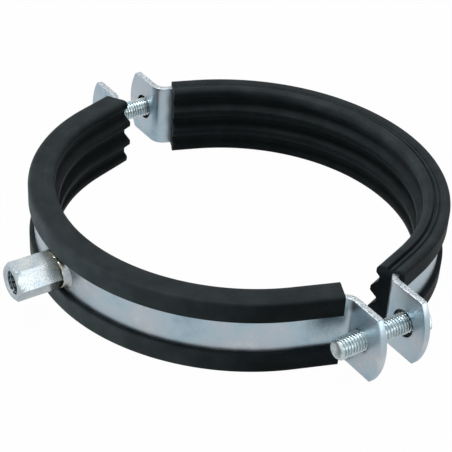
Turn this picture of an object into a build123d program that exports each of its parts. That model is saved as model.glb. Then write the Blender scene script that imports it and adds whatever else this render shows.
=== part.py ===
from build123d import *
import math
import os

# A rubber lined pipe clamp: two half bands bent from steel strip, each with a
# ribbed rubber lining hooked over its edges, closed by two screws through the
# ears at the ends of the bands. A hex connection nut stands on the front band.
#
# Frame: the pipe's axis is Z and the origin is its middle, halfway up the band.
# X is the closing direction: the front half is at -X and the rear half at +X.
# Y runs through both pairs of ears. All sizes are in millimetres.

# ---------------------------------------------------------------- driving sizes

# The lining's section, from the pipe outwards
pipe_diameter = 140.5          # across the crests of the two middle ribs
rib_height = 2.7               # middle ribs, above the bottom of the grooves
web_thickness = 4.55           # rubber between the grooves and the band
rib_spacing = 9.0              # between the two middle crests, along the pipe
rib_crest_width = 2.0
rib_base_width = 7.5
edge_rib_height = 1.35         # the ribs along the two edges are a little lower
edge_rib_crest_width = 3.25
edge_rib_base_width = 4.85
edge_rib_depth = 3.6           # from the edge rib's crest out to the dish
edge_cover = 1.6               # rubber over each edge of the band
dish_width = 4.6               # shallow dish along the top and bottom of the lining
dish_floor_width = 1.6
dish_depth = 0.5
lip_thickness = 1.9            # rubber on the band's outer face
lip_length = 6.6               # how far each lip reaches in from the band's edge
lip_edge_radius = 0.6
shoulder_radius = 1.3
rib_root_radius = 0.9
rib_crest_radius = 0.85
edge_rib_radius = 1.25
edge_rib_top_radius = 1.9
dish_radius = 2.0

# The band
band_width = 27.0
band_thickness = 2.5
lead_angle = 20.0              # the last stretch of each half runs off straight
bend_radius = 3.5              # inside the bend between band and ear
front_ear_face = 7.0           # from the split plane to the front ears
rear_ear_face = 10.0           # from the split plane to the rear ears
ear_height = 16.85             # from the band's outer face out to the ears' corners
ear_crown = 4.1                # how far the arc at an ear's end stands out
ear_corner_radius = 0.8
ear_hole_diameter = 10.5       # clearance holes in the rear ears

# The ends of the linings
steep_cut_angle = 12.0         # how far a cut leans back towards the outer lips
slight_cut_angle = 5.0
front_lip_setback = 0.35       # from the bend to the end of the lips
rear_lip_setback = 1.55
rear_lining_creep = 1.65       # the rear lining has slid round towards -Y
front_lining_creep = 0.65      # and the front one a little

# The clamp screws, M8 hex
screw_diameter = 8.0
screw_length = 32.6
screw_edge_distance = 7.3      # from the ears' corners in to the screw
screw_tip_chamfer = 0.9
head_across_flats = 13.0
head_height = 5.3
head_chamfer = 0.8
head_face_diameter = 12.4
bearing_diameter = 11.6        # the round face under the head
bearing_height = 0.4

# The connection nut, M8 and M10 in one
nut_across_flats = 13.0
nut_length = 19.0
nut_chamfer = 1.0
nut_face_diameter = 12.4
wide_thread_bore = 8.5         # M10, at the mouth
wide_thread_depth = 9.5
wide_thread_mouth = 10.2
narrow_thread_bore = 6.8       # M8, the rest of the way

# Clearances
lining_fit = 0.05              # between rubber and band
thread_fit = 0.05              # radial, between a screw and its tapped ear
bearing_fit = 0.05             # between a screw's head and the rear ear
weld_fit = 0.05                # between the connection nut and the band

# ------------------------------------------------------------- worked out sizes

pipe_radius = pipe_diameter / 2
groove_radius = pipe_radius + rib_height
band_inner_radius = groove_radius + web_thickness + lining_fit
band_outer_radius = band_inner_radius + band_thickness
lip_radius = band_outer_radius + lining_fit + lip_thickness
half_width = band_width / 2
lining_half_height = half_width + lining_fit + edge_cover
lead_sin = math.sin(math.radians(lead_angle))
lead_cos = math.cos(math.radians(lead_angle))
lead_tan = lead_sin / lead_cos
half_turn = (90 - lead_angle) / 2
ear_corner_reach = band_outer_radius + ear_height
ear_tip_reach = ear_corner_reach + ear_crown
screw_offset = ear_corner_reach - screw_edge_distance
nut_mouth = band_outer_radius + nut_length
OVER = 5.0                     # how far a cutter runs past what it cuts


def straight_length(ear_face):
    """Length of a band's straight end, from the arc to the bend of its ear."""
    to_corner = (band_outer_radius * lead_sin - ear_face - band_thickness) / lead_cos
    return to_corner - bend_radius * math.tan(math.radians(half_turn))


# ------------------------------------------------------------------- half bands


def strip_side(side, radius, ear_x, corner_radius):
    """Draw one face of a half band's strip, seen along the pipe's axis."""
    corner_y = radius * lead_cos + (radius * lead_sin - ear_x) * lead_tan
    for hand in (1, -1):
        FilletPolyline(
            (side * ear_x, hand * (ear_tip_reach + OVER)),
            (side * ear_x, hand * corner_y),
            (side * radius * lead_sin, hand * radius * lead_cos),
            radius=corner_radius,
        )
    CenterArc((0, 0), radius, 90 * (1 - side) - (90 - lead_angle), 180 - 2 * lead_angle)


def strip_end(side, ear_face, hand):
    """Draw the short line that closes the strip past the tip of one ear."""
    y = hand * (ear_tip_reach + OVER)
    Line((side * ear_face, y), (side * (ear_face + band_thickness), y))


def half_band(side, ear_face, hole_diameter):
    """Bend one half band: an arc, two straight ends and two ears."""
    with BuildPart() as band:
        with BuildSketch(Plane.XY.offset(-half_width)):
            with BuildLine():
                strip_side(side, band_inner_radius, ear_face, bend_radius + band_thickness)
                strip_side(side, band_outer_radius, ear_face + band_thickness, bend_radius)
                strip_end(side, ear_face, 1)
                strip_end(side, ear_face, -1)
            make_face()
        extrude(amount=band_width)
        # The ears end in a shallow arc between two small round corners
        with BuildSketch(Plane.YZ):
            with BuildLine():
                for hand in (1, -1):
                    ThreePointArc(
                        (hand * ear_corner_reach, -half_width),
                        (hand * ear_tip_reach, 0),
                        (hand * ear_corner_reach, half_width),
                    )
                    Line(
                        (-ear_corner_reach, hand * half_width),
                        (ear_corner_reach, hand * half_width),
                    )
            make_face()
            fillet(vertices(), ear_corner_radius)
        extrude(amount=lip_radius + OVER, both=True, mode=Mode.INTERSECT)
        # The screw holes
        with BuildSketch(Plane.YZ):
            with Locations((screw_offset, 0), (-screw_offset, 0)):
                Circle(hole_diameter / 2)
        extrude(amount=ear_face + band_thickness + OVER, both=True, mode=Mode.SUBTRACT)
    return band


# ---------------------------------------------------------------------- linings


def section_corners():
    """List the upper half of the lining's section, each corner with its radius.

    The first number is the distance from the pipe's axis and the second the
    height above the middle plane.
    """
    rib_z = rib_spacing / 2
    edge_crest = groove_radius - edge_rib_height
    edge_top = lining_half_height
    edge_side = edge_top - edge_rib_crest_width
    edge_root = edge_top - edge_rib_base_width
    dish_middle = edge_crest + edge_rib_depth + dish_width / 2
    groove = groove_radius
    lip_inner = band_outer_radius + lining_fit
    lip_end = half_width - lip_length
    slot_top = half_width + lining_fit
    slot_inner = band_inner_radius - lining_fit
    return [
        ((groove, rib_z - rib_base_width / 2), rib_root_radius),
        ((pipe_radius, rib_z - rib_crest_width / 2), rib_crest_radius),
        ((pipe_radius, rib_z + rib_crest_width / 2), rib_crest_radius),
        ((groove, rib_z + rib_base_width / 2), rib_root_radius),
        ((groove, edge_root), rib_root_radius),
        ((edge_crest, edge_side), edge_rib_radius),
        ((edge_crest, edge_top), edge_rib_top_radius),
        ((dish_middle - dish_width / 2, edge_top), dish_radius),
        ((dish_middle - dish_floor_width / 2, edge_top - dish_depth), dish_radius),
        ((dish_middle + dish_floor_width / 2, edge_top - dish_depth), dish_radius),
        ((dish_middle + dish_width / 2, edge_top), dish_radius),
        ((lip_radius, edge_top), shoulder_radius),
        ((lip_radius, lip_end), lip_edge_radius),
        ((lip_inner, lip_end), 0),
        ((lip_inner, slot_top), 0),
        ((slot_inner, slot_top), 0),
    ]


def lining_section():
    """Draw the lining's whole section, a channel open towards the band."""
    corners = section_corners()
    with BuildSketch() as section:
        with BuildLine():
            FilletPolyline(
                (groove_radius, 0),
                *[point for point, radius in corners],
                (band_inner_radius - lining_fit, 0),
                radius=[radius for point, radius in corners],
            )
            mirror(about=Plane.XZ)
        make_face()
    return section.sketch


def lining(side, ear_face, lip_setbacks, cut_angles):
    """Sweep one lining along its band; the lists hold the +Y and -Y ends."""
    straight = straight_length(ear_face)
    section = lining_section()
    with BuildPart() as rubber:
        for hand, setback, cut_angle in zip((1, -1), lip_setbacks, cut_angles):
            outward = Vector(side * lead_sin, hand * lead_cos, 0)
            along = Vector(-side * lead_cos, hand * lead_sin, 0)
            with BuildSketch(Plane(origin=(0, 0, 0), x_dir=outward, z_dir=side * hand * along)):
                add(section)
            extrude(amount=side * hand * (straight + OVER))
            # The end is cut square to the ribs, leaning back at the lips
            lean = math.radians(cut_angle)
            cut_point = outward * lip_radius + along * (straight - setback)
            cut_normal = along * math.cos(lean) + outward * math.sin(lean)
            split(bisect_by=Plane(origin=cut_point, z_dir=cut_normal), keep=Keep.BOTTOM)
        arc_start = Vector(side * lead_sin, -lead_cos, 0)
        arc_along = Vector(-lead_cos, -side * lead_sin, 0)
        with BuildSketch(Plane(origin=(0, 0, 0), x_dir=arc_start, z_dir=arc_along)):
            add(section)
        revolve(axis=Axis.Z, revolution_arc=side * (180 - 2 * lead_angle))
    return rubber


# --------------------------------------------------------------- screws and nut


def chamfered_hexagon(face_x, back_x, across_flats, face_diameter, chamfer_length):
    """Make a hexagon bar along X, its corners chamfered round at face_x."""
    inward = math.copysign(1, back_x - face_x)
    corner_radius = across_flats / math.sqrt(3)
    with BuildPart() as bar:
        with BuildSketch(Plane.YZ.offset(face_x)):
            RegularPolygon(across_flats / 2, 6, major_radius=False)
        extrude(amount=back_x - face_x)
        with BuildSketch(Plane.XY):
            Polygon(
                (face_x, 0),
                (face_x, face_diameter / 2),
                (face_x + inward * chamfer_length, corner_radius),
                (back_x, corner_radius),
                (back_x, 0),
                align=None,
            )
        revolve(axis=Axis.X, mode=Mode.INTERSECT)
    return bar.part


def clamp_screw(hand):
    """Make one hex screw, its head against the rear ear and its tip at -X."""
    seat_x = rear_ear_face + band_thickness + bearing_fit
    head_top = seat_x + head_height
    head = chamfered_hexagon(
        head_top, seat_x + bearing_height, head_across_flats, head_face_diameter, head_chamfer
    )
    seat = Plane(origin=(seat_x, hand * screw_offset, 0), x_dir=(0, 1, 0), z_dir=(1, 0, 0))
    with BuildPart() as screw:
        with BuildSketch(seat):
            Circle(screw_diameter / 2)
        extrude(amount=-screw_length)
        chamfer(edges().group_by(Axis.X)[0], screw_tip_chamfer)
        with BuildSketch(seat):
            Circle(bearing_diameter / 2)
        extrude(amount=bearing_height)
        with Locations((0, hand * screw_offset, 0)):
            add(head)
    return screw


def build_connection_nut():
    """Make the hex nut that stands on the front band, its mouth towards -X."""
    base = chamfered_hexagon(
        -nut_mouth, -band_inner_radius, nut_across_flats, nut_face_diameter, nut_chamfer
    )
    with BuildPart() as nut:
        add(base)
        # The foot is hollowed to the band's curve
        Cylinder(band_outer_radius + weld_fit, band_width, mode=Mode.SUBTRACT)
        with BuildSketch(Plane.YZ.offset(-nut_mouth)):
            Circle(wide_thread_bore / 2)
        extrude(amount=wide_thread_depth, mode=Mode.SUBTRACT)
        mouth_edges = edges().filter_by(GeomType.CIRCLE).group_by(Axis.X)[0]
        chamfer(mouth_edges.sort_by(SortBy.RADIUS)[0], (wide_thread_mouth - wide_thread_bore) / 2)
        with BuildSketch(Plane.YZ.offset(-nut_mouth)):
            Circle(narrow_thread_bore / 2)
        extrude(amount=nut_length, mode=Mode.SUBTRACT)
    return nut


front_band = half_band(-1, front_ear_face, screw_diameter + 2 * thread_fit)
rear_band = half_band(1, rear_ear_face, ear_hole_diameter)
front_lining = lining(
    -1,
    front_ear_face,
    (front_lip_setback + front_lining_creep, front_lip_setback - front_lining_creep),
    (steep_cut_angle, slight_cut_angle),
)
rear_lining = lining(
    1,
    rear_ear_face,
    (rear_lip_setback + rear_lining_creep, rear_lip_setback - rear_lining_creep),
    (slight_cut_angle, steep_cut_angle),
)
left_screw = clamp_screw(1)
right_screw = clamp_screw(-1)
connection_nut = build_connection_nut()

os.makedirs("parts", exist_ok=True)
front_band.part.label = "front_band"
export_step(front_band.part, "parts/front_band.step")
rear_band.part.label = "rear_band"
export_step(rear_band.part, "parts/rear_band.step")
front_lining.part.label = "front_lining"
export_step(front_lining.part, "parts/front_lining.step")
rear_lining.part.label = "rear_lining"
export_step(rear_lining.part, "parts/rear_lining.step")
left_screw.part.label = "left_screw"
export_step(left_screw.part, "parts/left_screw.step")
right_screw.part.label = "right_screw"
export_step(right_screw.part, "parts/right_screw.step")
connection_nut.part.label = "connection_nut"
export_step(connection_nut.part, "parts/connection_nut.step")
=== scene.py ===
"""Looks of a rubber lined pipe clamp: two zinc plated half bands with ribbed
rubber linings, two threaded clamp screws and a welded hexagon connection nut.

Every piece is worked out in millimetres in the clamp's own frame (Z along the
pipe, X the closing direction, Y through the ears) and put into its mesh in
metres, over the solid of the same name.
"""
import logging
import math
from collections.abc import Callable
from dataclasses import dataclass
from enum import Enum
from functools import partial

import bmesh
import bpy
import numpy as np
from bpy.types import Material, Mesh, Node, NodeSocket, NodeTree, Object
from mathutils import Matrix, Vector


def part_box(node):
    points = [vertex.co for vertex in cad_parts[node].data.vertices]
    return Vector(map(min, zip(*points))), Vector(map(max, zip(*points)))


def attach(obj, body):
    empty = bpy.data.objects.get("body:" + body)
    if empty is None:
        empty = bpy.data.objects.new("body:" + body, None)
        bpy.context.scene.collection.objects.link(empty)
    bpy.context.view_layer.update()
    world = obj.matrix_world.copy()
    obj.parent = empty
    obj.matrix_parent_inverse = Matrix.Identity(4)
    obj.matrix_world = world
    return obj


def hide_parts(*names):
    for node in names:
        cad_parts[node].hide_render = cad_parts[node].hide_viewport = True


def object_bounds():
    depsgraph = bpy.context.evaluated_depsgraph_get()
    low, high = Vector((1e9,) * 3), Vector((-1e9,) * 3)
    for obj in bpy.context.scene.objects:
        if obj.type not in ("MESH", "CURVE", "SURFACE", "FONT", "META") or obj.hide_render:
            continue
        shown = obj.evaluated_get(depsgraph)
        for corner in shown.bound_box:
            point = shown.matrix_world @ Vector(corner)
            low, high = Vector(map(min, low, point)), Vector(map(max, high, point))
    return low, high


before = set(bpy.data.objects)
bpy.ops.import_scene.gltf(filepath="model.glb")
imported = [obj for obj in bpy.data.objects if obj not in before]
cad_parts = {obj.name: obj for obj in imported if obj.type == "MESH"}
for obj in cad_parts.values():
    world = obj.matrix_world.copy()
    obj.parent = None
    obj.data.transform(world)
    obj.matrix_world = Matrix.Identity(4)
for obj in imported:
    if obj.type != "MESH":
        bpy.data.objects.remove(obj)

LOG = logging.getLogger("pipe_clamp")
MM = 0.001
TINY = 1e-9  # stands in for nought in a division
SAME_POINT_MM = 1e-4  # a shorter step along an outline is dropped
MERGE_M = 2e-6  # closer points of a mesh are merged
THREAD_HEIGHT = 0.6134  # of a metric thread, as a share of its pitch
WHITE = (1.0, 1.0, 1.0, 1.0)
CAD_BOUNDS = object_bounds()


class Side(Enum):
    """The two halves of the clamp, by the sign of their X."""

    FRONT = -1
    REAR = 1

    def named(self, part: str) -> str:
        """Name of this half's piece or body, such as rear_band."""
        return f"{self.name.lower()}_{part}"


# ---------- mesh helpers


def to_linear(colour: str) -> tuple[float, float, float, float]:
    """Turn an sRGB hex colour into linear RGBA.

    Args:
        colour: the colour as "#rrggbb".

    Returns:
        Linear red, green, blue and an alpha of 1.
    """
    srgb = np.array([int(colour[i:i + 2], 16) for i in (1, 3, 5)]) / 255.0
    linear = np.where(srgb <= 0.04045, srgb / 12.92, ((srgb + 0.055) / 1.055) ** 2.4)
    return (*(float(c) for c in linear), 1.0)


def rounded_outline(
    corners: np.ndarray, radii: np.ndarray, steps: int, closed: bool
) -> np.ndarray:
    """Round the corners of an outline with circular arcs.

    At each corner the arc touches both edges at a distance of radius times the
    tangent of half the turn, and its points lie on a circle whose centre is on
    the corner's bisector.

    Args:
        corners: (n, 2) corner points.
        radii: (n,) radius at each corner; 0 keeps a corner sharp.
        steps: points on each arc.
        closed: whether the last corner joins the first.

    Returns:
        (m, 2) points along the rounded outline.
    """
    before = np.roll(corners, 1, axis=0) - corners
    after = np.roll(corners, -1, axis=0) - corners
    before /= np.linalg.norm(before, axis=1, keepdims=True)
    after /= np.linalg.norm(after, axis=1, keepdims=True)
    half_open = np.arccos(np.clip((before * after).sum(1), -1, 1)) / 2
    reach = radii / np.tan(half_open)
    bisector = before + after
    bisector /= np.maximum(np.linalg.norm(bisector, axis=1, keepdims=True), TINY)
    centre = corners + bisector * (radii / np.sin(half_open))[:, None]
    start = corners + before * reach[:, None] - centre
    end = corners + after * reach[:, None] - centre
    turn = math.pi - 2 * half_open
    t = np.linspace(0, 1, steps)[None, :, None]
    span = np.maximum(turn, TINY)[:, None, None]
    arc = np.sin((1 - t) * span) * start[:, None] + np.sin(t * span) * end[:, None]
    points = centre[:, None] + arc / np.sin(span)
    if not closed:
        points = points[1:-1]
        points = np.concatenate([corners[:1], points.reshape(-1, 2), corners[-1:]])
    points = points.reshape(-1, 2)
    step = np.linalg.norm(np.roll(points, -1, axis=0) - points, axis=1)
    return points[step > SAME_POINT_MM]


def fill_long_edges(points: np.ndarray, longest: float) -> np.ndarray:
    """Add evenly spaced points along the long edges of a closed outline.

    Args:
        points: (n, 2) outline.
        longest: the longest edge that may stay.

    Returns:
        (m, 2) outline whose edges are no longer than that.
    """
    following = np.roll(points, -1, axis=0)
    count = np.ceil(np.linalg.norm(following - points, axis=1) / longest).astype(int)
    count = np.maximum(count, 1)
    start = np.repeat(points, count, axis=0)
    end = np.repeat(following, count, axis=0)
    first = np.repeat(np.cumsum(count) - count, count)
    share = (np.arange(count.sum()) - first) / np.repeat(count, count)
    return start + (end - start) * share[:, None]


def grid_faces(rows: int, columns: int, wrap_rows: bool, wrap_columns: bool) -> np.ndarray:
    """Index the quads of a grid of points.

    Args:
        rows: points along the first parameter.
        columns: points along the second parameter.
        wrap_rows: whether the last row joins the first.
        wrap_columns: whether the last column joins the first.

    Returns:
        (n, 4) vertex indices, row-major.
    """
    i = np.arange(rows if wrap_rows else rows - 1)[:, None]
    j = np.arange(columns if wrap_columns else columns - 1)[None, :]
    ii, jj = (i + 1) % rows, (j + 1) % columns
    quads = [i * columns + j, ii * columns + j, ii * columns + jj, i * columns + jj]
    return np.stack([np.broadcast_to(q, (len(i), j.shape[1])) for q in quads], -1).reshape(-1, 4)


def capped_faces(rows: int, columns: int) -> list[list[int]]:
    """Index the quads between a tube's rings, and a cap at each end."""
    ends = [list(range(columns)), list(range((rows - 1) * columns, rows * columns))]
    return grid_faces(rows, columns, False, True).tolist() + ends


def make_mesh(name: str, points: np.ndarray, faces: list) -> Mesh:
    """Put points in millimetres and faces into a new mesh in metres.

    Args:
        name: name of the mesh.
        points: (n, 3) points in millimetres.
        faces: lists of vertex indices.

    Returns:
        The mesh, with doubles merged and its faces pointing outwards.
    """
    mesh = bpy.data.meshes.new(name)
    mesh.from_pydata((points * MM).tolist(), [], faces)
    work = bmesh.new()
    work.from_mesh(mesh)
    bmesh.ops.remove_doubles(work, verts=work.verts, dist=MERGE_M)
    bmesh.ops.recalc_face_normals(work, faces=work.faces)
    work.to_mesh(mesh)
    work.free()
    return mesh


def turned(rings: list[tuple], angle: np.ndarray, axis_y: float = 0.0) -> np.ndarray:
    """Turn a profile round an axis along X.

    A point sits at the ring's X, at axis_y plus the radius times the cosine of
    its angle in Y, and at the radius times the sine of it in Z.

    Args:
        rings: X and radius of each ring, as numbers or as arrays over the angles.
        angle: (1, n) angles.
        axis_y: Y of the axis.

    Returns:
        (rings, n, 3) points.
    """
    x, radius = (
        np.concatenate([np.broadcast_to(ring[i], angle.shape) for ring in rings])
        for i in (0, 1)
    )
    return np.stack([x, radius * np.cos(angle) + axis_y, radius * np.sin(angle)], -1)


def add_object(name: str, data: bpy.types.ID) -> Object:
    """Put a mesh, lamp or camera into the scene as a new object."""
    item = bpy.data.objects.new(name, data)
    bpy.context.scene.collection.objects.link(item)
    return item


def finish_piece(
    mesh: Mesh, node: str, body: str, finish: "Finish", crease: float
) -> Object:
    """Make the visible piece that stands for one solid.

    Args:
        mesh: the piece's mesh, in place.
        node: the solid that it replaces.
        body: the body that it moves with.
        finish: what it is made of.
        crease: edges sharper than this, in degrees, stay sharp.

    Returns:
        The new object.
    """
    mesh.shade_smooth()
    mesh.set_sharp_from_angle(angle=math.radians(crease))
    piece = add_object(f"{node}_piece", mesh)
    mesh.materials.append(finish.material())
    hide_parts(node)
    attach(piece, body)
    LOG.info("%s: %d faces on body %s", piece.name, len(mesh.polygons), body)
    return piece


# ---------- finishes

AddNode = Callable[..., Node]  # add_node with its tree given


def add_node(
    tree: NodeTree, kind: str, inputs: dict | tuple = (),
    stops: tuple[tuple[float, str], ...] = (), **settings: object,
) -> Node:
    """Add one shader node with its settings, values, links and colour stops.

    Args:
        tree: the node tree.
        kind: the node's type name without "ShaderNode".
        inputs: what goes into the sockets in use, by name or in their order: a
            value, an output, or a node whose first output in use is linked.
        stops: position and hex colour of each stop of a colour ramp.
        **settings: attributes of the node.

    Returns:
        The new node.
    """
    node = tree.nodes.new(f"ShaderNode{kind}")
    for name, value in settings.items():
        setattr(node, name, value)
    if isinstance(inputs, dict):
        pairs = [(node.inputs[name], value) for name, value in inputs.items()]
    else:
        pairs = zip([socket for socket in node.inputs if socket.enabled], inputs)
    for socket, value in pairs:
        if isinstance(value, Node):
            value = next(output for output in value.outputs if output.enabled)
        if isinstance(value, NodeSocket):
            tree.links.new(value, socket)
        else:
            socket.default_value = value
    if stops:
        elements = node.color_ramp.elements
        while len(elements) < len(stops):
            elements.new(0.5)
        for element, (position, colour) in zip(elements, stops):
            element.position = position
            element.color = to_linear(colour)
    return node


def per_metre(size_mm: float) -> float:
    """Noise scale whose features are about this many millimetres across."""
    return 1.0 / (size_mm * MM)


@dataclass(frozen=True)
class Finish:
    """A material and how its surface was made."""

    name: str

    def material(self) -> Material:
        """Make the material, or find it again.

        Returns:
            The material.
        """
        known = bpy.data.materials.get(self.name)
        if known:
            return known
        material = bpy.data.materials.new(self.name)
        material.use_nodes = True
        material.node_tree.nodes.clear()
        add = partial(add_node, material.node_tree)
        add("OutputMaterial", (self.shade(add),))
        return material

    def shade(self, add: AddNode) -> Node:
        """Add this finish's shader and return it."""
        raise NotImplementedError

    def coat(self, add: AddNode, colour: Node, layers: list[tuple]) -> Node:
        """Lay colours over one another.

        Args:
            add: adds a node.
            colour: the lowest colour.
            layers: amount of each layer, and its colour as a hex or a node.

        Returns:
            The finished colour.
        """
        for amount, over in layers:
            top = to_linear(over) if isinstance(over, str) else over
            colour = add("Mix", (amount, colour, top), data_type="RGBA")
        return colour


@dataclass(frozen=True)
class Patch:
    """A round tint, in millimetres: whole up to one distance, gone past another.

    A noise adds up to the rim's size to the distance, which makes it ragged.
    """

    middle: tuple[float, float, float]
    whole: float
    gone: float
    rim: float
    amount: float = 0.75

    def mask(self, add: AddNode, place: NodeSocket, noise: Node) -> Node:
        """Work out how much of the tint there is.

        Args:
            add: adds a node.
            place: object coordinates.
            noise: what makes the rim ragged.

        Returns:
            The amount.
        """
        middle = tuple(part * MM for part in self.middle)
        away = add("VectorMath", (place, middle), operation="DISTANCE")
        ragged = add("Math", (noise, self.rim * MM, away), operation="MULTIPLY_ADD")
        return add("MapRange", (ragged, self.whole * MM, self.gone * MM, self.amount, 0.0))


@dataclass(frozen=True)
class ZincPlatedStrip(Finish):
    """Cold rolled steel strip, electroplated with blue-white zinc.

    The eye sees a satin, slightly blue metal whose tint drifts where the
    plating is uneven, fine rolling lines across the width, small dull specks,
    a brown bloom round the weld and rough speckled edges where the blank was
    sheared. Painted on it are two dark grey reflections, and shade on the walls
    of the rear half's punched holes.
    """

    name: str = "zinc_plated_rolled_steel_strip"
    plating: str = "#b2c5cf"
    plating_thin: str = "#9db4c3"
    plating_violet: str = "#bcc5ce"
    plating_thick: str = "#ccd3d4"
    weld_bloom: str = "#85796a"
    painted_reflection: str = "#3d4a54"
    # painted dark reflection: colour of two patches that stand in for dark surroundings mirrored in
    # the band
    painted_hole_shade: str = "#3c454b"
    # painted shade: colour of the rear holes' walls, standing in for the shade deep inside them
    shear: str = "#d0d7da"
    shear_dull: str = "#8f9aa1"
    roughness: float = 0.32
    cloud_mm: float = 17.0
    line_mm: float = 0.9  # rolling lines, coarser than the real ones so that they show
    speck_mm: float = 0.7  # coarser than the real specks too
    bloom: Patch = Patch((-80.05, 0.0, 0.0), whole=10.5, gone=17.0, rim=8.0)
    # painted dark reflections: one beside the nut, one near the front ear
    painted_reflections: tuple[Patch, ...] = (
        Patch((-79.2, -11.5, 3.8), whole=4.5, gone=9.0, rim=9.0),
        Patch((-17.5, -79.2, 5.6), whole=4.5, gone=13.5, rim=9.0),
    )
    hole_y_mm: float = 89.6
    hole_rim_mm: tuple[float, float] = (5.27, 5.45)
    edge_z_mm: tuple[float, float] = (13.25, 13.45)

    def shade(self, add: AddNode) -> Node:
        """Add satin zinc with tints, rolling lines, painted reflections, painted hole shade and
        edges.

        Args:
            add: adds a node.

        Returns:
            The shader.
        """
        place = add("TexCoord").outputs["Object"]
        x, y, z = add("SeparateXYZ", (place,)).outputs
        across = add("CombineXYZ", {"Z": z})
        cloud = add("TexNoise", (place, per_metre(self.cloud_mm), 5.0, 0.6))
        speck = add("TexNoise", (place, per_metre(self.speck_mm), 3.0, 0.7))
        lines = add("TexNoise", (across, per_metre(self.line_mm), 2.0, 0.5))
        plating = add("ValToRGB", (cloud,), stops=(
            (0.36, self.plating_thin), (0.48, self.plating),
            (0.58, self.plating_violet), (0.68, self.plating_thick),
        ))
        dull = add("MapRange", (speck, 0.56, 0.70, 0.0, 0.16))
        # painted shade on the walls of the rear half's holes, by the distance from each hole's axis
        either_side = add("Math", (y,), operation="ABSOLUTE")
        past_hole = add("Math", (either_side, self.hole_y_mm * MM), operation="SUBTRACT")
        from_axis = add("CombineXYZ", (past_hole, z))
        radius = add("VectorMath", (from_axis,), operation="LENGTH")
        rear = add("Math", (x, 0.0), operation="GREATER_THAN")
        hole_shade = add("MapRange", (radius, *(size * MM for size in self.hole_rim_mm), rear, 0.0))
        height = add("Math", (z,), operation="ABSOLUTE")
        edge = add("MapRange", (height, *(size * MM for size in self.edge_z_mm)))
        burr = add("ValToRGB", (speck,), stops=((0.42, self.shear_dull), (0.58, self.shear)))
        colour = self.coat(add, plating, [
            (dull, self.weld_bloom),
            (self.bloom.mask(add, place, cloud), self.weld_bloom),
            # painted dark reflections
            *((painted_reflection.mask(add, place, speck), self.painted_reflection) for painted_reflection in self.painted_reflections),
            # painted shade in the rear holes
            (hole_shade, self.painted_hole_shade),
            (edge, burr),
        ])
        surface = add("Math", (speck, edge, lines), operation="MULTIPLY_ADD")
        gloss = add("MapRange", (cloud, 0.3, 0.7, self.roughness - 0.04, self.roughness + 0.06))
        bump = add("Bump", {"Height": surface, "Strength": 0.05, "Distance": 0.00006})
        return add("BsdfPrincipled", {
            "Base Color": colour, "Metallic": 1.0, "Roughness": gloss, "Normal": bump
        })


@dataclass(frozen=True)
class ZincPlatedThread(Finish):
    """Rolled thread and pressed head of a screw, with bright zinc plating.

    The eye sees a brighter metal than the strip, with a very light frost from
    the barrel that it was plated in.
    """

    name: str = "zinc_plated_rolled_thread"
    plating: str = "#d6e0e2"
    plating_dull: str = "#bccace"
    roughness: float = 0.26
    frost_mm: float = 2.2

    def shade(self, add: AddNode) -> Node:
        """Add bright zinc with a faint frost.

        Args:
            add: adds a node.

        Returns:
            The shader.
        """
        place = add("TexCoord").outputs["Object"]
        frost = add("TexNoise", (place, per_metre(self.frost_mm), 3.0, 0.5))
        colour = add("ValToRGB", (frost,), stops=((0.38, self.plating_dull), (0.62, self.plating)))
        gloss = add("MapRange", (frost, 0.3, 0.7, self.roughness + 0.05, self.roughness - 0.04))
        return add("BsdfPrincipled", {"Base Color": colour, "Metallic": 1.0, "Roughness": gloss})


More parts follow.
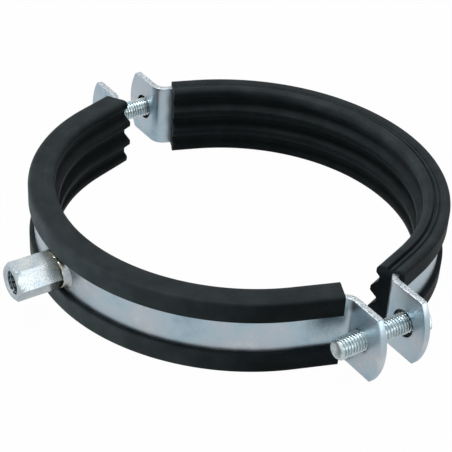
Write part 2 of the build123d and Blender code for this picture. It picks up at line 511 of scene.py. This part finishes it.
@dataclass(frozen=True)
class ZincPlatedBar(Finish):
    """Cold drawn hexagon bar, cut, tapped, zinc plated and then welded on.

    The eye sees smooth bright flats with tiny pits, and at the welded foot the
    straw, olive and brown tints that the heat left in the plating. The collar
    of weld metal, further from the bar's axis, shows only a little of them.
    """

    name: str = "zinc_plated_drawn_steel_bar"
    plating: str = "#cdd3d3"
    plating_dull: str = "#b2c0c8"
    pit: str = "#8f969c"
    straw: str = "#b3a677"
    olive: str = "#8a7f55"
    brown: str = "#5d5144"
    roughness: float = 0.26
    foot_roughness: float = 0.44
    cloud_mm: float = 5.0
    pit_mm: float = 0.6  # coarser than the real pits, so that they show
    mottle_mm: float = 1.6
    wander_mm: float = 12.0
    tint_x_mm: tuple[float, float] = (-91.0, -85.0)
    collar_mm: tuple[float, float] = (7.6, 8.0)
    bar_tint: float = 0.723
    collar_tint: float = 0.181

    def shade(self, add: AddNode) -> Node:
        """Add bright zinc with pits and the weld's tints towards the foot.

        Args:
            add: adds a node.

        Returns:
            The shader.
        """
        place = add("TexCoord").outputs["Object"]
        cloud = add("TexNoise", (place, per_metre(self.cloud_mm), 4.0, 0.6))
        pits = add("TexNoise", (place, per_metre(self.pit_mm), 2.0, 0.7))
        mottle = add("TexNoise", (place, per_metre(self.mottle_mm), 5.0, 0.75))
        plating = add("ValToRGB", (cloud,), stops=((0.38, self.plating_dull), (0.62, self.plating)))
        pitted = add("MapRange", (pits, 0.50, 0.66, 0.0, 0.6))
        along = add("SeparateXYZ", (place,)).outputs["X"]
        wander = add("Math", (mottle, -self.wander_mm * MM, along), operation="MULTIPLY_ADD")
        to_foot = add("MapRange", (wander, *(x * MM for x in self.tint_x_mm)))
        flat = add("VectorMath", (place, (0.0, 1.0, 1.0)), operation="MULTIPLY")
        off_axis = add("VectorMath", (flat,), operation="LENGTH")
        most = add("MapRange", (
            off_axis, *(size * MM for size in self.collar_mm), self.bar_tint, self.collar_tint
        ))
        amount = add("MapRange", (to_foot, 0.0, 0.7, 0.0, most))
        tint = add("ValToRGB", (to_foot,), stops=(
            (0.0, self.plating), (0.35, self.straw), (0.62, self.olive), (0.85, self.brown)
        ))
        colour = self.coat(add, plating, [(pitted, self.pit), (amount, tint)])
        gloss = add("MapRange", (to_foot, 0.2, 0.9, self.roughness, self.foot_roughness))
        bump = add("Bump", {"Height": pits, "Strength": 0.05, "Distance": 0.00005})
        return add("BsdfPrincipled", {
            "Base Color": colour, "Metallic": 1.0, "Roughness": gloss, "Normal": bump
        })


@dataclass(frozen=True)
class ExtrudedRubber(Finish):
    """Black EPDM rubber, extruded and cut to length.

    The eye sees a soft charcoal surface, faint lines along the extrusion left
    by the die, and a little grey bloom.
    """

    name: str = "extruded_epdm_rubber"
    black: str = "#22282a"
    bloom: str = "#303638"
    roughness: float = 0.55
    specular: float = 0.05
    die_line_mm: float = 0.8  # coarser than the die's real lines, so that they show
    bloom_mm: float = 9.0

    def shade(self, add: AddNode) -> Node:
        """Add matt rubber with die lines, a noise of Z and of the distance from
        the pipe's axis, so that they follow the ring.

        Args:
            add: adds a node.

        Returns:
            The shader.
        """
        place = add("TexCoord").outputs["Object"]
        x, y, z = add("SeparateXYZ", (place,)).outputs
        radius = add("VectorMath", (add("CombineXYZ", (x, y)),), operation="LENGTH")
        section = add("CombineXYZ", (radius, z))
        lines = add("TexNoise", (section, per_metre(self.die_line_mm), 3.0, 0.6))
        cloud = add("TexNoise", (place, per_metre(self.bloom_mm), 5.0, 0.6))
        colour = add("ValToRGB", (cloud,), stops=((0.38, self.black), (0.75, self.bloom)))
        bump = add("Bump", {"Height": lines, "Strength": 0.35, "Distance": 0.0001})
        return add("BsdfPrincipled", {
            "Base Color": colour, "Roughness": self.roughness, "IOR": 1.52,
            "Specular IOR Level": self.specular, "Normal": bump,
        })


# ---------- sizes


@dataclass
class ClampSizes:
    """Sizes of the clamp in millimetres, from the frame where it shows them."""

    lead_angle: float = 20.0
    bend_radius: float = 3.5
    ear_crown: float = 4.1
    ear_corner_radius: float = 0.8
    screw_radius: float = 4.0
    screw_offset: float = 89.6
    clearance_radius: float = 5.25
    thread_fit: float = 0.05
    fit: float = 0.05
    strip: float = 2.5
    lip_thickness: float = 1.9

    def __post_init__(self) -> None:
        """Read the rest from the solids' boxes."""
        low, high = (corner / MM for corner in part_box("front_band"))
        self.half_width = high.z
        self.outer_radius = -low.x
        self.inner_radius = self.outer_radius - self.strip
        self.ear_tip = high.y
        self.ear_face = {Side.FRONT: -high.x, Side.REAR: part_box("rear_band")[0].x / MM}
        tapped_radius = self.screw_radius + self.thread_fit
        self.hole_radius = {Side.FRONT: tapped_radius, Side.REAR: self.clearance_radius}
        low, high = (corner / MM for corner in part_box("front_lining"))
        self.lip_radius = -low.x
        self.lining_half_height = high.z
        self.thickness = self.lip_radius - self.lip_thickness - self.fit - self.inner_radius


@dataclass
class HalfPath:
    """The line that one half band's middle surface follows, seen along Z.

    It is an arc round the pipe, a straight run, a bend of the opposite hand
    and the straight ear, the same on both sides of the arc's middle.
    """

    sizes: ClampSizes
    side: Side

    def __post_init__(self) -> None:
        """Work out where the arc, the run and the bend end."""
        sizes = self.sizes
        self.turn = math.radians(90 - sizes.lead_angle)
        self.radius = sizes.outer_radius - sizes.thickness / 2
        self.bend = sizes.bend_radius + sizes.thickness / 2
        self.ear_x = sizes.ear_face[self.side] + sizes.thickness / 2
        lead = math.radians(sizes.lead_angle)
        to_corner = (self.radius * math.sin(lead) - self.ear_x) / math.cos(lead)
        self.run = to_corner - self.bend * math.tan(self.turn / 2)
        self.arc_end = self.radius * self.turn
        self.run_end = self.arc_end + self.run
        self.bend_end = self.run_end + self.bend * self.turn
        self.bend_end_y = float(self.at(np.array([self.bend_end]))[0, 1])

    def at(self, s: np.ndarray) -> np.ndarray:
        """Follow the path.

        On the arc a point is radius times the unit vector at angle s / radius.
        On the run it goes on along the tangent. In the bend it circles a centre
        on the outer side, and on the ear it goes straight out along Y.

        Args:
            s: distances from the arc's middle, positive towards +Y.

        Returns:
            (n, 2) points in X and Y.
        """
        u, hand = np.abs(s), np.where(s < 0, -1.0, 1.0)
        arc = np.minimum(u, self.arc_end) / self.radius
        psi = np.clip(u - self.run_end, 0, self.bend_end - self.run_end) / self.bend
        facing = arc - psi
        normal = np.stack([np.cos(facing), np.sin(facing)], -1)
        arc_normal = np.stack([np.cos(arc), np.sin(arc)], -1)
        arc_tangent = np.stack([-np.sin(arc), np.cos(arc)], -1)
        run = np.clip(u - self.arc_end, 0, self.run)[:, None]
        point = self.radius * arc_normal + run * arc_tangent
        point += self.bend * (arc_normal - normal) * (psi > 0)[:, None]
        point[:, 1] += np.maximum(u - self.bend_end, 0)
        return point * np.stack([np.full_like(hand, self.side.value), hand], -1)


# ---------- half bands


@dataclass
class HalfBand:
    """One half of the clamp's steel: the strip, its bends and its two ears."""

    sizes: ClampSizes
    side: Side
    finish: Finish = ZincPlatedStrip()
    arc_step: float = 1.6
    run_steps: int = 9
    bend_steps: int = 15
    width_rows: int = 14
    tip_steps: int = 29
    corner_steps: int = 5
    corner_reach: float = 0.35
    side_steps: int = 9
    ear_rings: tuple[float, ...] = (0.0, 0.12, 0.3, 0.55, 0.8, 1.0)
    edge_rounding: float = 0.22
    edge_steps: int = 3
    edge_angle: float = 50.0
    crease: float = 40.0

    def ear_outline(self, path: HalfPath) -> np.ndarray:
        """Outline of the flat ear from the bend round its tip, as (s, z).

        The first side is the bend's end from +Z to -Z, then the lower edge, a
        small round corner, the shallow arc of the tip and the same mirrored.

        Args:
            path: the line that this half follows.

        Returns:
            (n, 2) points.
        """
        sizes = self.sizes
        half = sizes.half_width
        tip = path.bend_end + sizes.ear_tip - path.bend_end_y
        corner = tip - sizes.ear_crown
        arc_radius = (half ** 2 + sizes.ear_crown ** 2) / (2 * sizes.ear_crown)
        reach = math.asin(half / arc_radius)
        angle = np.linspace(-reach, reach, self.tip_steps)
        arc = np.stack(
            [tip - arc_radius * (1 - np.cos(angle)), arc_radius * np.sin(angle)], -1
        )
        corners = np.concatenate([[[path.bend_end, -half]], arc, [[path.bend_end, half]]])
        radii = np.zeros(len(corners))
        radii[[1, -2]] = sizes.ear_corner_radius
        inset = (arc[1:-1, 0] - corner) > self.corner_reach
        keep = np.concatenate([[True, True], inset, [True, True]])
        rim = rounded_outline(corners[keep], radii[keep], self.corner_steps, closed=False)
        rows = np.linspace(half, -half, self.width_rows + 1)
        start = np.stack([np.full_like(rows, path.bend_end), rows], -1)
        share = np.linspace(0, 1, self.side_steps)[1:-1, None]
        lower = rim[0] + (rim[1] - rim[0]) * share
        upper = rim[-2] + (rim[-1] - rim[-2]) * share
        return np.concatenate([start, lower, rim[1:-1], upper])

    def sheet(self, path: HalfPath) -> tuple[np.ndarray, np.ndarray]:
        """Lay out the middle surface of the strip, flat, as quads on (s, z).

        Between the bends it is a plain grid. Each ear is a grid round its
        screw hole: rings run from the hole's circle out to the ear's outline,
        each point on the straight line between the two.

        Args:
            path: the line that this half follows.

        Returns:
            (n, 2) points and (m, 4) faces.
        """
        arc = np.linspace(-path.arc_end, path.arc_end, int(2 * path.arc_end / self.arc_step))
        run = np.linspace(path.arc_end, path.run_end, self.run_steps)[1:]
        bend = np.linspace(path.run_end, path.bend_end, self.bend_steps)[1:]
        end = np.concatenate([run, bend])
        s = np.concatenate([-end[::-1], arc, end])
        z = np.linspace(self.sizes.half_width, -self.sizes.half_width, self.width_rows + 1)
        strip = np.stack(np.meshgrid(s, z, indexing="ij"), -1).reshape(-1, 2)
        points, faces = [strip], [grid_faces(len(s), len(z), False, False)]
        outline = self.ear_outline(path)
        centre = np.array([path.bend_end + self.sizes.screw_offset - path.bend_end_y, 0.0])
        away = outline - centre
        away /= np.linalg.norm(away, axis=1, keepdims=True)
        circle = centre + away * self.sizes.hole_radius[self.side]
        rings = np.array(self.ear_rings)[:, None, None]
        ear = (circle + (outline - circle) * rings).reshape(-1, 2)
        count = len(strip)
        for hand in (1, -1):
            points.append(ear * (hand, 1))
            faces.append(grid_faces(len(rings), len(outline), False, True) + count)
            count += len(ear)
        return np.concatenate(points), np.concatenate(faces)

    def build(self) -> Object:
        """Bend the flat sheet along the path, thicken it and round its edges.

        Returns:
            The band.
        """
        path = HalfPath(self.sizes, self.side)
        flat, faces = self.sheet(path)
        xy = path.at(flat[:, 0])
        points = np.column_stack([xy, flat[:, 1]])
        name = self.side.named("band")
        blank = add_object(name + "_blank", make_mesh(name, points, faces.tolist()))
        wall = blank.modifiers.new("wall", "SOLIDIFY")
        wall.thickness = self.sizes.thickness * MM
        wall.offset = 0.0
        wall.use_even_offset = True
        edge = blank.modifiers.new("sheared edge", "BEVEL")
        edge.width = self.edge_rounding * MM
        edge.segments = self.edge_steps
        edge.limit_method = "ANGLE"
        edge.angle_limit = math.radians(self.edge_angle)
        solid = bpy.data.meshes.new_from_object(
            blank.evaluated_get(bpy.context.evaluated_depsgraph_get())
        )
        solid.name = name
        bpy.data.objects.remove(blank)
        body = self.side.named("half")
        return finish_piece(solid, name, body, self.finish, self.crease)


# ---------- linings


@dataclass
class RubberLining:
    """One ribbed rubber channel, hooked over both edges of its band.

    Sizes are in millimetres and angles in degrees. The setbacks and the cuts'
    angles are those of the +Y end and of the -Y end. A dish runs along each
    edge, with two fine scores in its floor. The dish's section holds (distance
    out from its start, share of the dish's depth, share of the scores' depth,
    rounding) at each corner.
    """

    sizes: ClampSizes
    side: Side
    lip_setbacks: tuple[float, float]
    cut_angles: tuple[float, float]
    finish: Finish = ExtrudedRubber()
    pipe_radius: float = 70.25
    rib_height: float = 2.7
    rib_spacing: float = 9.0
    rib_crest: float = 2.0
    rib_base: float = 7.5
    rib_rounding: float = 0.85
    groove_rounding: float = 0.9
    edge_rib_height: float = 1.35
    edge_rib_crest: float = 3.25
    edge_rib_base: float = 4.85
    edge_rib_depth: float = 3.6
    edge_rib_rounding: float = 1.25
    inner_rounding: float = 1.9
    dish_depth: float = 0.5
    score_depth: float = 0.4
    dish_section: tuple[tuple[float, float, float, float], ...] = (
        (0.0, 0.0, 0.0, 0.2), (0.3, 0.8, 0.0, 0.12), (0.6, 1.0, 1.0, 0.12),
        (1.0, 1.0, 1.0, 0.12), (1.3, 0.8, 0.0, 0.15), (2.2, 0.8, 0.0, 0.15),
        (2.6, 1.0, 0.8, 0.1), (3.0, 1.0, 0.0, 0.15), (4.6, 0.0, 0.0, 1.2),
    )
    outer_rounding: float = 1.3
    lip_length: float = 6.6
    lip_rounding: float = 0.6
    corner_steps: int = 5
    longest_edge: float = 0.9
    run_steps: int = 8
    arc_steps: int = 141
    crease: float = 35.0

    def section(self) -> np.ndarray:
        """Outline of the lining's section, its lower half a mirror of the upper.

        Returns:
            (n, 2) points of radius and height, closed.
        """
        sizes = self.sizes
        rib = self.rib_spacing / 2
        groove = self.pipe_radius + self.rib_height
        crest = groove - self.edge_rib_height
        top = sizes.lining_half_height
        out, dish, score, rounding = np.array(self.dish_section).T
        out += crest + self.edge_rib_depth
        height = top - dish * self.dish_depth - score * self.score_depth
        band_in, band_out = sizes.inner_radius - sizes.fit, sizes.outer_radius + sizes.fit
        slot = sizes.half_width + sizes.fit
        lip_end = sizes.half_width - self.lip_length
        upper = np.array([
            (groove, rib - self.rib_base / 2, self.groove_rounding),
            (self.pipe_radius, rib - self.rib_crest / 2, self.rib_rounding),
            (self.pipe_radius, rib + self.rib_crest / 2, self.rib_rounding),
            (groove, rib + self.rib_base / 2, self.groove_rounding),
            (groove, top - self.edge_rib_base, self.groove_rounding),
            (crest, top - self.edge_rib_crest, self.edge_rib_rounding),
            (crest, top, self.inner_rounding),
            *zip(out, height, rounding),
            (sizes.lip_radius, top, self.outer_rounding),
            (sizes.lip_radius, lip_end, self.lip_rounding),
            (band_out, lip_end, 0.0),
            (band_out, slot, 0.0),
            (band_in, slot, 0.0),
        ])
        corners = np.concatenate([upper, upper[::-1] * (1, -1, 1)])
        outline = rounded_outline(corners[:, :2], corners[:, 2], self.corner_steps, closed=True)
        return fill_long_edges(outline, self.longest_edge)

    def build(self) -> Object:
        """Carry the section round the arc and along both straight runs.

        A point of the section at radius u sits at u times the unit vector of
        the arc's angle. Past the arc it goes on along the tangent, by the
        length of the run less the setback, longer towards the pipe by the
        tangent of the cut's angle.

        Returns:
            The lining.
        """
        path = HalfPath(self.sizes, self.side)
        turn, steps = path.turn, self.run_steps
        u, z = self.section().T
        lean = (self.sizes.lip_radius - u) * np.tan(np.radians(self.cut_angles))[:, None]
        plus, minus = (path.run - back + by for back, by in zip(self.lip_setbacks, lean))
        arc = np.linspace(-turn, turn, self.arc_steps)
        angle = np.concatenate([np.full(steps, -turn), arc, np.full(steps, turn)])[:, None]
        share = np.linspace(0, 1, steps + 1)[1:]
        past = np.concatenate([np.zeros(steps + self.arc_steps), share])[:, None]
        along = past * plus - past[::-1] * minus
        x = u * np.cos(angle) - along * np.sin(angle)
        y = u * np.sin(angle) + along * np.cos(angle)
        points = np.stack([x * self.side.value, y, np.broadcast_to(z, x.shape)], -1)
        name, body = self.side.named("lining"), self.side.named("half")
        mesh = make_mesh(name, points.reshape(-1, 3), capped_faces(*x.shape))
        return finish_piece(mesh, name, body, self.finish, self.crease)


# ---------- screws and nut


def thread_depth(phase: np.ndarray, pitch: float | np.ndarray) -> np.ndarray:
    """Depth below the crest of a metric thread.

    The profile is a 60 degree V whose crest is flat for an eighth of the pitch
    and whose root is flat for a quarter of it, with both eased by a sine.

    Args:
        phase: position along the thread in turns.
        pitch: the thread's pitch.

    Returns:
        Depth at each position, in the pitch's unit.
    """
    half_crest, half_root = 1 / 16, 1 / 8
    from_crest = np.abs((phase + 0.5) % 1.0 - 0.5)
    slope = np.clip((from_crest - half_crest) / (1 / 2 - half_crest - half_root), 0, 1)
    return (0.5 - 0.5 * np.cos(math.pi * slope)) * THREAD_HEIGHT * pitch


def hexagon_radius(angle: np.ndarray, across_flats: float) -> np.ndarray:
    """Distance from a hexagon's centre to its side, with corners on the first axis."""
    from_flat = (angle % (math.pi / 3)) - math.pi / 6
    return across_flats / 2 / np.cos(from_flat)


@dataclass
class ClampScrew:
    """A hexagon screw, threaded to its head, in millimetres.

    The tip's rings are (depth, share of the tip's radius). The hexagon's lower
    edge is (height, share of the hexagon). The head's top is chamfered in steps
    of (depth below the top, growth of the radius past the top's flat face).
    """

    sizes: ClampSizes
    node: str
    hand: int
    finish: Finish = ZincPlatedThread()
    pitch: float = 1.25
    across_flats: float = 13.0
    head_height: float = 5.3
    head_top_inset: float = 0.2
    head_top_steps: tuple[tuple[float, float], ...] = ((0.62, 0.95), (0.35, 0.55), (0.05, 0.06))
    head_side_end: float = 0.9
    bearing_radius: float = 5.8
    bearing_height: float = 0.4
    bearing_edge: float = 0.1
    tip_chamfer: float = 0.7
    tip_rings: tuple[tuple[float, float], ...] = ((0.2, 0.55), (0.0, 0.86))
    tip_hollow: float = 0.25
    centre_radius: float = 0.02
    neck_inset: float = 0.2
    hexagon_edge: tuple[float, float] = (0.12, 0.985)
    head_rim_inset: float = 0.1
    around: int = 72
    per_turn: int = 14
    crease: float = 40.0

    def build(self) -> Object:
        """Turn the whole screw as one surface of angle and length.

        From the tip's centre the radius grows to the chamfer, then follows the
        thread, whose phase is length over pitch less angle over a full turn.
        The round bearing face, the hexagon and its chamfered top follow.

        Returns:
            The screw.
        """
        low, high = (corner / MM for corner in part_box(self.node))
        seat = high.x - self.head_height
        hex_x = seat + self.bearing_height
        r, bearing, edge = self.sizes.screw_radius, self.bearing_radius, self.bearing_edge
        angle = np.linspace(0, 2 * math.pi, self.around, endpoint=False)[None, :]
        hexagon = hexagon_radius(angle, self.across_flats)
        x = np.arange(low.x, seat, self.pitch / self.per_turn)[:, None]
        phase = (x - low.x) / self.pitch - angle / (2 * math.pi)
        tip = r - self.tip_chamfer
        shank = np.minimum(r - thread_depth(phase, self.pitch), tip + (x - low.x))
        top = self.across_flats / 2 - self.head_top_inset
        edge_height, edge_share = self.hexagon_edge
        points = turned([
            (low.x + self.tip_hollow, self.centre_radius),
            *((low.x + depth, share * tip) for depth, share in self.tip_rings),
            *zip(x, shank),
            (seat, r - self.neck_inset),
            (seat, bearing - edge),
            (seat + edge, bearing),
            (hex_x - edge / 2, bearing),
            (hex_x, bearing + edge),
            (hex_x, edge_share * hexagon),
            (hex_x + edge_height, hexagon),
            (high.x - self.head_side_end, hexagon),
            *((high.x - depth, np.minimum(hexagon, top + growth))
              for depth, growth in self.head_top_steps),
            (high.x, top - self.head_rim_inset),
            (high.x, top / 2),
            (high.x, self.centre_radius),
        ], angle, self.hand * self.sizes.screw_offset)
        mesh = make_mesh(self.node, points.reshape(-1, 3), capped_faces(*points.shape[:2]))
        return finish_piece(mesh, self.node, self.node, self.finish, self.crease)


@dataclass
class ConnectionNut:
    """The hexagon nut on the front band, threaded M10 at its mouth and M8 inside.

    Sizes are in millimetres. The mouth's chamfer goes in steps of (depth from
    the mouth, growth of the radius past the flat face). The collar's section
    holds (reach past the rim's ellipse along Y, the same along Z, share of the
    collar's height), and its rim's waves hold (size, count, phase).
    """

    sizes: ClampSizes
    finish: Finish = ZincPlatedBar()
    across_flats: float = 13.0
    wide_bore: float = 4.25
    wide_depth: float = 9.5
    wide_pitch: float = 1.5
    narrow_bore: float = 3.4
    narrow_pitch: float = 1.25
    thread_share: float = 0.85
    mouth_radius: float = 5.1
    mouth_rim: float = 0.15
    face_radius: float = 6.2
    face_inset: float = 0.12
    bore_start: float = 0.08
    bore_gap: float = 0.01
    foot_gap: float = 0.05
    chamfer_steps: tuple[tuple[float, float], ...] = (
        (1.0, 1.30), (0.6, 0.86), (0.25, 0.36), (0.06, 0.08)
    )
    around: int = 96
    side_steps: int = 10
    bore_steps: int = 90
    collar_y: float = 8.3
    collar_z: float = 6.7
    collar_height: float = 2.3
    collar_around: int = 144
    collar_section: tuple[tuple[float, float, float], ...] = (
        (1.9, 0.1, 0.0), (1.1, 0.1, 0.12), (0.6, 0.1, 0.32), (0.3, 0.08, 0.6),
        (0.12, 0.06, 0.82), (0.0, 0.02, 0.95), (-0.12, -0.02, 1.0), (-0.28, -0.06, 0.97),
        (-0.38, -0.1, 0.85), (-0.45, -0.12, 0.0),
    )
    collar_waves: tuple[tuple[float, int, float], ...] = (
        (0.05, 7, 0.7), (0.035, 19, 0.0), (0.02, 41, 0.0)
    )
    crease: float = 35.0

    def foot(self, y: np.ndarray) -> np.ndarray:
        """X of the band's round outer face, where the foot stands, at each Y."""
        return -np.sqrt((self.sizes.outer_radius + self.sizes.fit) ** 2 - y ** 2)

    def bore(self, depth: np.ndarray, angle: np.ndarray) -> np.ndarray:
        """Radius of the threaded bore: the tapped wall less the mouth's cone.

        The wide thread cuts outwards from its bore by its depth, the narrow one
        likewise, and the countersink opens the first turn.

        Args:
            depth: (n, 1) distances from the mouth.
            angle: (1, m) angles.

        Returns:
            (n, m) radii.
        """
        wide = depth < self.wide_depth
        pitch = np.where(wide, self.wide_pitch, self.narrow_pitch)
        wall = np.where(wide, self.wide_bore, self.narrow_bore)
        phase = depth / pitch - angle / (2 * math.pi)
        cut = (THREAD_HEIGHT * pitch - thread_depth(phase, pitch)) * self.thread_share
        return np.maximum(wall + cut, self.mouth_radius - depth)

    def weld_collar(self) -> tuple[np.ndarray, np.ndarray]:
        """Raise the thin collar of upset metal that the weld left round the foot.

        Its plan is an ellipse in Y and Z. The section sweeps up from the band,
        over the thin rim and down beside the nut, and is carried round the
        ellipse. The rim's height wavers by a sum of sines.

        Returns:
            The points, and the faces as numbers of four points each.
        """
        reach_y, reach_z, height = np.array(self.collar_section).T
        t = np.linspace(0, 2 * math.pi, self.collar_around, endpoint=False)[:, None]
        waves = (size * np.sin(count * t + phase) for size, count, phase in self.collar_waves)
        y = (self.collar_y + reach_y) * np.cos(t)
        z = (self.collar_z + reach_z) * np.sin(t)
        x = self.foot(y) - self.collar_height * (1 + sum(waves)) * height
        faces = grid_faces(self.collar_around, len(height), True, True)
        return np.stack([x, y, z], -1).reshape(-1, 3), faces

    def build(self) -> Object:
        """Join the outside, the mouth, the bore and the foot in one ring.

        The weld's collar is a second closed ring in the same mesh.

        Returns:
            The nut.
        """
        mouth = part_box("connection_nut")[0].x / MM
        angle = np.linspace(0, 2 * math.pi, self.around, endpoint=False)[None, :]
        hexagon = hexagon_radius(angle, self.across_flats)
        start, end = self.foot(hexagon * np.cos(angle)), mouth + self.chamfer_steps[0][0]
        side = np.linspace(0, 1, self.side_steps + 2)[:-1]
        foot_depth = -self.sizes.outer_radius - mouth - self.foot_gap
        depth = np.concatenate([
            np.linspace(self.bore_start, self.wide_depth - self.bore_gap, self.bore_steps),
            np.linspace(self.wide_depth + self.bore_gap, foot_depth, self.bore_steps),
        ])[:, None]
        points = turned([
            *((start * (1 - share) + end * share, hexagon) for share in side),
            *((mouth + deep, np.minimum(hexagon, self.face_radius + growth))
              for deep, growth in self.chamfer_steps),
            (mouth, self.face_radius - self.face_inset),
            (mouth, self.mouth_radius + self.mouth_rim),
            *zip(mouth + depth, self.bore(depth, angle)),
            (self.foot(self.narrow_bore * np.cos(angle)), self.narrow_bore),
        ], angle)
        collar, collar_faces = self.weld_collar()
        rows, columns, _ = points.shape
        faces = np.concatenate([
            grid_faces(rows, columns, True, True), collar_faces[:, ::-1] + rows * columns
        ])
        name = "connection_nut"
        mesh = make_mesh(name, np.concatenate([points.reshape(-1, 3), collar]), faces.tolist())
        return finish_piece(mesh, name, "front_half", self.finish, self.crease)


# ---------- studio


def white_share(add: AddNode, shown: float, mirrored: float) -> Node:
    """Say how white the surroundings look to a ray.

    Args:
        add: adds a node.
        shown: share for what the camera sees directly.
        mirrored: share for what it sees in a glossy or a clear surface.

    Returns:
        The share, which is nought for rays that carry light.
    """
    rays = add("LightPath").outputs
    second = add("Math", (rays["Is Glossy Ray"], rays["Is Transmission Ray"]), operation="MAXIMUM")
    direct = add("Math", (rays["Is Camera Ray"], shown), operation="MULTIPLY")
    indirect = add("Math", (second, mirrored), operation="MULTIPLY")
    return add("Math", (direct, indirect), operation="MAXIMUM")


@dataclass(frozen=True)
class StudioFloor(Finish):
    """Pale grey painted floor.

    The eye sees a white ground with the clamp's soft shadow, and metal mirrors
    it a little less bright.
    """

    name: str = "white_studio_floor"
    paint: str = "#9ba1a4"
    roughness: float = 0.9
    shown_share: float = 0.985
    mirrored_share: float = 0.66

    def shade(self, add: AddNode) -> Node:
        """Mix the paint with plain white for the eye and for mirroring metal.

        Args:
            add: adds a node.

        Returns:
            The shader.
        """
        colour = to_linear(self.paint)
        paint = add("BsdfPrincipled", {"Base Color": colour, "Roughness": self.roughness})
        glow = add("Emission", (WHITE, 1.0))
        share = white_share(add, self.shown_share, self.mirrored_share)
        return add("MixShader", (share, paint, glow))


@dataclass(frozen=True)
class Camera:
    """A camera that looks past the clamp's centre, with a slight roll.

    Angles are in degrees, distances in millimetres and the focal length in
    pixels of an image that is image_px wide.
    """

    azimuth: float = -35.833
    elevation: float = 33.941
    roll: float = 3.686
    distance: float = 525.08
    across: float = -4.688
    above: float = -6.655
    focal_px: float = 1324.9
    image_px: float = 452.0
    sensor: float = 36.0
    farthest_m: float = 10.0

    def build(self) -> None:
        """Place the camera and make it the scene's."""
        a, e, r = (math.radians(v) for v in (self.azimuth, self.elevation, self.roll))
        back = Vector((math.sin(a) * math.cos(e), -math.cos(a) * math.cos(e), math.sin(e)))
        level = Vector((math.cos(a), math.sin(a), 0.0))
        upright = back.cross(level)
        right = level * math.cos(r) + upright * math.sin(r)
        up = upright * math.cos(r) - level * math.sin(r)
        place = back * self.distance + right * self.across + up * self.above
        data = bpy.data.cameras.new("camera")
        data.sensor_width = self.sensor
        data.lens = self.focal_px * self.sensor / self.image_px
        data.clip_end = self.farthest_m
        camera = add_object("camera", data)
        turn = Matrix((right, up, back)).transposed().to_4x4()
        camera.matrix_world = Matrix.Translation(place * MM) @ turn
        bpy.context.scene.camera = camera


@dataclass(frozen=True)
class SoftBox:
    """One square soft lamp, with its place and size in metres and power in watts.

    It may leave out matt surfaces or not show in metal.
    """

    name: str
    place: tuple[float, float, float]
    size: float
    power: float
    lights_matt: bool = True
    shines_in_metal: bool = True

    def build(self) -> None:
        """Hang the lamp so that it faces the clamp."""
        data = bpy.data.lights.new(self.name, "AREA")
        data.shape = "SQUARE"
        data.size = self.size
        data.energy = self.power
        lamp = add_object(self.name, data)
        lamp.location = self.place
        lamp.visible_diffuse = self.lights_matt
        lamp.visible_glossy = self.shines_in_metal
        lamp.rotation_euler = Vector(self.place).to_track_quat("Z", "Y").to_euler()


@dataclass(frozen=True)
class Studio:
    """A pale floor in a plain white room, with three soft lamps, in metres."""

    floor_z: float
    floor_size: float = 12.0
    floor_gap: float = 0.00002
    room_strength: float = 0.04
    floor_finish: Finish = StudioFloor()
    lamps: tuple[SoftBox, ...] = (
        SoftBox("overhead_softbox", (-0.08, 0.2, 1.1), 0.6, 12.0),
        SoftBox("window_softbox", (-1.1, 0.5, 0.015), 0.13, 31.0, shines_in_metal=False),
        SoftBox("edge_card", (0.8, -1.35, 0.5), 0.7, 2.9, lights_matt=False),
    )

    def floor(self) -> None:
        """Lay the floor just under the clamp."""
        half = self.floor_size / 2
        corners = [(-half, -half), (half, -half), (half, half), (-half, half)]
        mesh = bpy.data.meshes.new("floor")
        height = self.floor_z - self.floor_gap
        mesh.from_pydata([(x, y, height) for x, y in corners], [], [(0, 1, 2, 3)])
        floor = add_object("floor", mesh)
        mesh.materials.append(self.floor_finish.material())

    def room(self) -> None:
        """Make the world faint as a light, and white to the eye and in metal."""
        world = bpy.data.worlds.new("white_room")
        world.use_nodes = True
        world.node_tree.nodes.clear()
        add = partial(add_node, world.node_tree)
        share = white_share(add, 1.0, 1.0)
        strength = add("MapRange", (share, 0.0, 1.0, self.room_strength, 1.0))
        add("OutputWorld", (add("Background", (WHITE, strength)),))
        bpy.context.scene.world = world

    def build(self) -> None:
        """Set up the floor, the room, the lamps and the camera."""
        self.floor()
        self.room()
        for lamp in self.lamps:
            lamp.build()
        Camera().build()
        bpy.context.scene.view_settings.view_transform = "Standard"


def main() -> None:
    """Build every piece, then the studio."""
    logging.basicConfig(level=logging.INFO, format="%(message)s")
    sizes = ClampSizes()
    for side in Side:
        HalfBand(sizes, side).build()
    RubberLining(
        sizes, Side.FRONT, lip_setbacks=(1.0, -0.3), cut_angles=(12.0, 5.0),
        dish_depth=0.06, score_depth=0.0,
    ).build()
    RubberLining(
        sizes, Side.REAR, lip_setbacks=(3.2, -0.1), cut_angles=(5.0, 12.0),
        dish_depth=0.7, score_depth=0.8,
    ).build()
    for node, hand in (("left_screw", 1), ("right_screw", -1)):
        ClampScrew(sizes, node, hand).build()
    ConnectionNut(sizes).build()
    Studio(floor_z=CAD_BOUNDS[0][2]).build()


if __name__ == "__main__":
    main()
